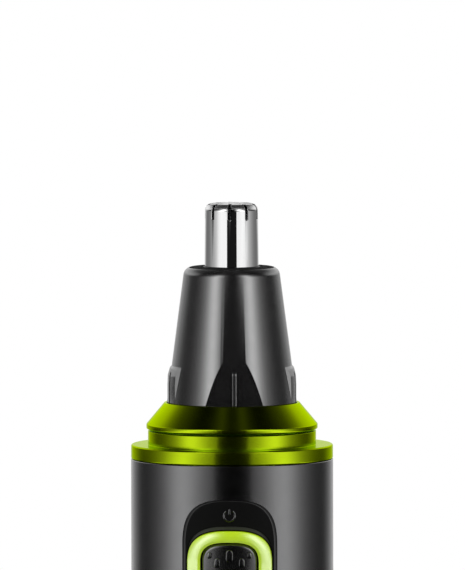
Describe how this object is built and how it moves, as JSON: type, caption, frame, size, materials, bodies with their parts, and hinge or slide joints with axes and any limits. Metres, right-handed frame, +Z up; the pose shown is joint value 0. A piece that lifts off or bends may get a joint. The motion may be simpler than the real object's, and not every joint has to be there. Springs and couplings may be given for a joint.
{
  "type": "nose hair trimmer",
  "caption": "Slim round battery trimmer with a slotted tube cutter on a tapered twist-off head, a slide switch and a battery cap.",
  "frame": {"origin": "centre of the flat base of the battery cap, on the handle's axis", "axes": "+Z up along the handle towards the cutter, -Y towards the slide switch, +X to the right seen from the switch side"},
  "size_m": [0.028, 0.0292, 0.136],
  "materials": {
    "gunmetal": "satin anodised",
    "lime_metal": "satin metallic lime",
    "lime_plastic": "semi-gloss",
    "black_satin": "fine grain",
    "black_panel": "satin",
    "chrome": "polished",
    "blade_steel": "ground",
    "inner_plastic": "moulded",
    "white_plastic": "moulded",
    "spring_steel": "drawn",
    "motor_steel": "zinc plated",
    "brass": "satin",
    "copper": "enamelled wire on steel",
    "ferrite": "sintered",
    "rubber": "matt",
    "red_insulation": "smooth",
    "black_insulation": "smooth",
    "cell_jacket": "printed film"
  },
  "bodies": {
    "handle": {"body_tube": "gunmetal", "flange_ring": "lime_metal", "shoulder_ring": "lime_metal", "switch_panel": "black_panel", "tail_trim_ring": "lime_metal", "chassis": "inner_plastic", "fixed_contact_lower": "brass", "fixed_contact_upper": "brass", "battery_plus_contact": "spring_steel", "negative_strip": "spring_steel", "battery_lead": "red_insulation", "motor_lead": "red_insulation", "return_lead": "black_insulation", "motor_can": "motor_steel", "motor_end_bell": "white_plastic", "motor_magnet_left": "ferrite", "motor_magnet_right": "ferrite", "motor_terminal_left": "brass", "motor_terminal_right": "brass", "motor_retainer": "inner_plastic", "retainer_screw_left": "spring_steel", "retainer_screw_right": "spring_steel"},
    "slider": {"slider_ring": "lime_plastic", "slider_button": "black_panel", "slider_carrier": "inner_plastic", "moving_contact": "brass"},
    "rotor": {"motor_armature": "copper", "motor_shaft": "spring_steel", "drive_coupling": "white_plastic"},
    "head_seal": {"head_o_ring": "rubber"},
    "head": {"head_cone": "black_satin", "outer_cutter": "chrome", "cutter_retainer": "inner_plastic", "bearing_plate": "blade_steel", "spindle_bush": "brass"},
    "blade": {"blade_spindle": "white_plastic", "inner_blade": "blade_steel", "blade_spring": "spring_steel"},
    "battery": {"battery_cell": "cell_jacket"},
    "cap_seal": {"cap_o_ring": "rubber"},
    "cap": {"tail_cap": "black_satin", "cap_contact_plate": "spring_steel", "cap_contact_spring": "spring_steel"}
  },
  "joints": [
    {"name": "switch_slide", "type": "slide", "parent": "handle", "child": "slider", "axis": [0, 0, 1], "range_m": [-0.005, 0]},
    {"name": "rotor_spin", "type": "hinge", "parent": "handle", "child": "rotor", "pos_m": [0, 0, 0], "axis": [0, 0, 1], "continuous": true},
    {"name": "head_lift", "type": "slide", "parent": "handle", "child": "head_seal", "axis": [0, 0, 1], "range_m": [0, 0.03]},
    {"name": "head_twist", "type": "hinge", "parent": "head_seal", "child": "head", "pos_m": [0, 0, 0], "axis": [0, 0, 1], "range_deg": [0, 35]},
    {"name": "blade_spin", "type": "hinge", "parent": "head", "child": "blade", "pos_m": [0, 0, 0], "axis": [0, 0, 1], "continuous": true},
    {"name": "cap_pull", "type": "slide", "parent": "handle", "child": "cap_seal", "axis": [0, 0, -1], "range_m": [0, 0.06]},
    {"name": "cap_twist", "type": "hinge", "parent": "cap_seal", "child": "cap", "pos_m": [0, 0, 0], "axis": [0, 0, 1], "range_deg": [0, 35]},
    {"name": "battery_out", "type": "slide", "parent": "handle", "child": "battery", "axis": [0, 0, -1], "range_m": [0, 0.06]}
  ],
  "couplings": [
    {"joint": "blade_spin", "follows": "rotor_spin", "ratio": 1},
    {"joint": "battery_out", "follows": "cap_pull", "ratio": 1}
  ]
}
